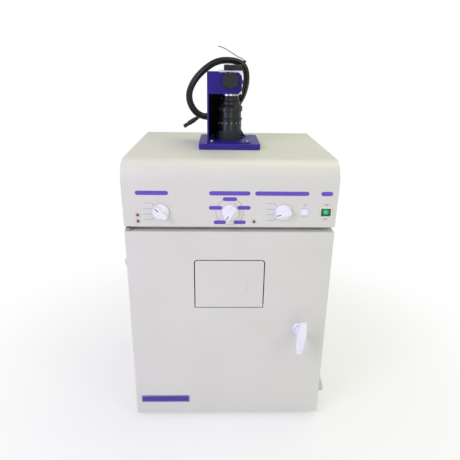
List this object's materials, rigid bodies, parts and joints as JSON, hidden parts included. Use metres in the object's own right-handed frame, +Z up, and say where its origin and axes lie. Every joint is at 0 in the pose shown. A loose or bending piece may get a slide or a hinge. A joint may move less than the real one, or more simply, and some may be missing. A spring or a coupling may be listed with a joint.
{
  "type": "gel documentation system",
  "caption": "Bench cabinet with a hinged door, viewing flap, latch handle, control hood with knobs and switches, filter wheel, and a top camera on a bracket with a coiled cable.",
  "frame": {"origin": "floor under the feet, at the middle of the footprint", "axes": "+X to the right seen from the front, +Y to the back, +Z up"},
  "size_m": [0.493, 0.4426, 0.8755],
  "materials": {
    "body_paint": "light warm grey powder coat",
    "inner_paint": "light grey paint inside",
    "violet_paint": "violet-blue powder coat",
    "zinc": "zinc plated",
    "steel": "turned steel",
    "aluminium": "bright folded sheet",
    "camera_metal": "white paint",
    "lens_black": "black anodised",
    "mount_silver": "turned, satin",
    "black_plastic": "black moulding",
    "gear_plastic": "natural acetal",
    "white_plastic": "white moulding",
    "cream_plastic": "cream moulding",
    "green_plastic": "translucent green, lit",
    "lamp_red": "dark red lens",
    "clear_glass": "clear window",
    "uv_glass": "dark violet filter",
    "filter_glass": "coloured filter",
    "lens_glass": "coated lens",
    "lamp_white": "phosphor-coated glass tube",
    "rubber": "black rubber",
    "foam": "black foam strip",
    "cable_black": "black cable jacket"
  },
  "bodies": {
    "cabinet": {"cabinet_shell": "body_paint", "rear_panel": "body_paint", "power_inlet": "black_plastic", "deck_plate": "inner_paint", "hood_cover": "body_paint", "vent_hoods": "body_paint", "hinge_brackets": "zinc", "rubber_feet": "rubber", "strike_plate": "zinc", "overhead_reflectors": "aluminium", "overhead_tubes": "lamp_white", "transilluminator_housing": "inner_paint", "uv_filter_glass": "uv_glass", "transilluminator_tubes": "lamp_white", "ballasts": "zinc", "rotary_switches": "black_plastic", "filter_bushing": "zinc", "shaft_support": "zinc", "wheel_hanger": "steel", "power_bezel": "cream_plastic", "aux_bezel": "white_plastic", "indicator_lamps": "lamp_red", "camera_base_plate": "violet_paint", "plate_screws": "zinc", "camera_bracket": "violet_paint"},
    "door": {"door_skin": "body_paint", "door_inner_panel": "inner_paint", "door_gasket": "foam", "window_pane": "clear_glass", "touch_latch": "black_plastic", "handle_rose": "white_plastic"},
    "viewer_flap": {"viewer_flap": "body_paint"},
    "door_handle": {"handle_lever": "white_plastic", "latch_spindle": "steel", "latch_cam": "zinc"},
    "overhead_knob": {"overhead_knob": "white_plastic"},
    "transilluminator_knob": {"transilluminator_knob": "white_plastic"},
    "filter_knob": {"filter_knob": "white_plastic", "filter_shaft": "steel", "knob_bevel_gear": "gear_plastic"},
    "filter_wheel": {"filter_wheel": "black_plastic", "filter_glasses": "filter_glass", "wheel_bevel_gear": "gear_plastic"},
    "power_rocker": {"power_rocker": "green_plastic"},
    "aux_rocker": {"aux_rocker": "white_plastic"},
    "camera": {"camera_body": "camera_metal", "camera_rear_cap": "black_plastic", "camera_connector": "mount_silver", "lens_mount_ring": "mount_silver", "lens_barrel": "lens_black", "front_lens": "lens_glass", "cable_coil": "cable_black", "cable_lead": "cable_black", "cable_tail": "cable_black", "cable_plug": "black_plastic", "cable_tie": "black_plastic"},
    "iris_ring": {"iris_ring": "lens_black"},
    "zoom_ring": {"zoom_ring": "lens_black"},
    "focus_ring": {"focus_ring": "lens_black"},
    "clamp_knob": {"clamp_knob": "black_plastic"}
  },
  "joints": [
    {"name": "door_swing", "type": "hinge", "parent": "cabinet", "child": "door", "pos_m": [-0.218, -0.165, 0.25], "axis": [0, 0, -1], "range_deg": [0, 110]},
    {"name": "handle_turn", "type": "hinge", "parent": "door", "child": "door_handle", "pos_m": [0.1625, -0.2, 0.2606], "axis": [0, -1, 0], "range_deg": [0, 90]},
    {"name": "flap_drop", "type": "hinge", "parent": "door", "child": "viewer_flap", "pos_m": [0, -0.172, 0.321], "axis": [1, 0, 0], "range_deg": [0, 115]},
    {"name": "overhead_knob_turn", "type": "hinge", "parent": "cabinet", "child": "overhead_knob", "pos_m": [-0.1454, -0.17461, 0.54532], "axis": [0, -0.9976, -0.0698], "range_deg": [0, 90]},
    {"name": "transilluminator_knob_turn", "type": "hinge", "parent": "cabinet", "child": "transilluminator_knob", "pos_m": [0.1119, -0.17461, 0.54532], "axis": [0, -0.9976, -0.0698], "range_deg": [-60, 30]},
    {"name": "filter_wheel_spin", "type": "hinge", "parent": "cabinet", "child": "filter_wheel", "pos_m": [0, -0.02, 0.636], "axis": [0, 0, 1], "continuous": true},
    {"name": "filter_knob_turn", "type": "hinge", "parent": "cabinet", "child": "filter_knob", "pos_m": [0, -0.17461, 0.54532], "axis": [0, -0.9976, -0.0698], "continuous": true},
    {"name": "power_rocker_tilt", "type": "hinge", "parent": "cabinet", "child": "power_rocker", "pos_m": [0.2019, -0.17064, 0.54589], "axis": [1, 0, 0], "range_deg": [0, 16]},
    {"name": "aux_rocker_tilt", "type": "hinge", "parent": "cabinet", "child": "aux_rocker", "pos_m": [0.1565, -0.1707, 0.54669], "axis": [1, 0, 0], "range_deg": [-8, 8], "stiffness_Nm_per_rad": 0.05},
    {"name": "camera_height", "type": "slide", "parent": "cabinet", "child": "camera", "axis": [0, 0, 1], "range_m": [-0.007, 0.008]},
    {"name": "clamp_knob_turn", "type": "hinge", "parent": "camera", "child": "clamp_knob", "pos_m": [0, -0.018, 0.8018], "axis": [0, -1, 0], "range_deg": [0, 90]},
    {"name": "iris_ring_turn", "type": "hinge", "parent": "camera", "child": "iris_ring", "pos_m": [0, 0.032, 0.75975], "axis": [0, 0, 1], "range_deg": [0, 80]},
    {"name": "zoom_ring_turn", "type": "hinge", "parent": "camera", "child": "zoom_ring", "pos_m": [0, 0.032, 0.7388], "axis": [0, 0, 1], "range_deg": [-40, 40]},
    {"name": "focus_ring_turn", "type": "hinge", "parent": "camera", "child": "focus_ring", "pos_m": [0, 0.032, 0.688], "axis": [0, 0, 1], "range_deg": [-60, 60]}
  ],
  "couplings": [
    {"joint": "filter_knob_turn", "follows": "filter_wheel_spin", "ratio": -1}
  ]
}
